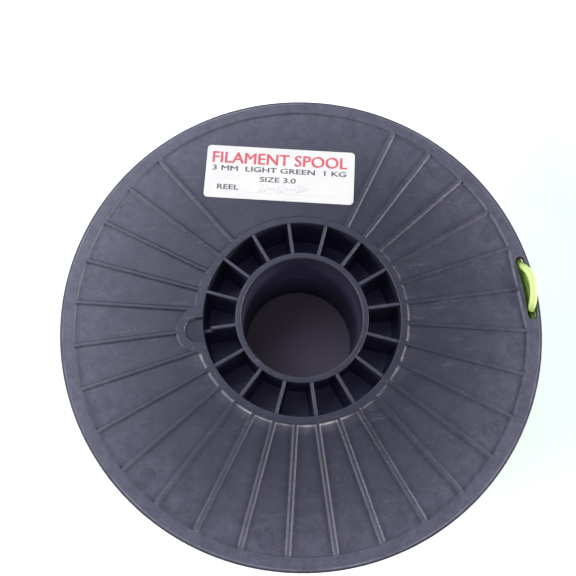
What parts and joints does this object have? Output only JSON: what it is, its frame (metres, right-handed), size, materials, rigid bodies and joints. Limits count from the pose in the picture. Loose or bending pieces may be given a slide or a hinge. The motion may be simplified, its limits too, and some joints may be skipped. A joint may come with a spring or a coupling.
{
  "type": "filament spool",
  "caption": "Black ribbed plastic reel in two halves, full of wound light green filament, with its free end tucked into a rim slot and a paper label.",
  "frame": {"origin": "centre of the ring face that the spool lies on, on the reel's axis", "axes": "+Z along the reel's axis, up through the flange with the label; +X towards the slot that holds the filament's end; +Y through the middle of the smooth panel that carries the label"},
  "size_m": [0.2032, 0.2032, 0.0619],
  "materials": {
    "reel_plastic": "matt black moulded plastic with a fine grain and light scuffs",
    "filament": "smooth light green filament, slightly translucent",
    "label_paper": "matt white printed label"
  },
  "bodies": {
    "root": {"upper_reel_half": "reel_plastic", "lower_reel_half": "reel_plastic", "filament_winding": "filament", "filament_tail": "filament", "label": "label_paper"}
  },
  "joints": []
}
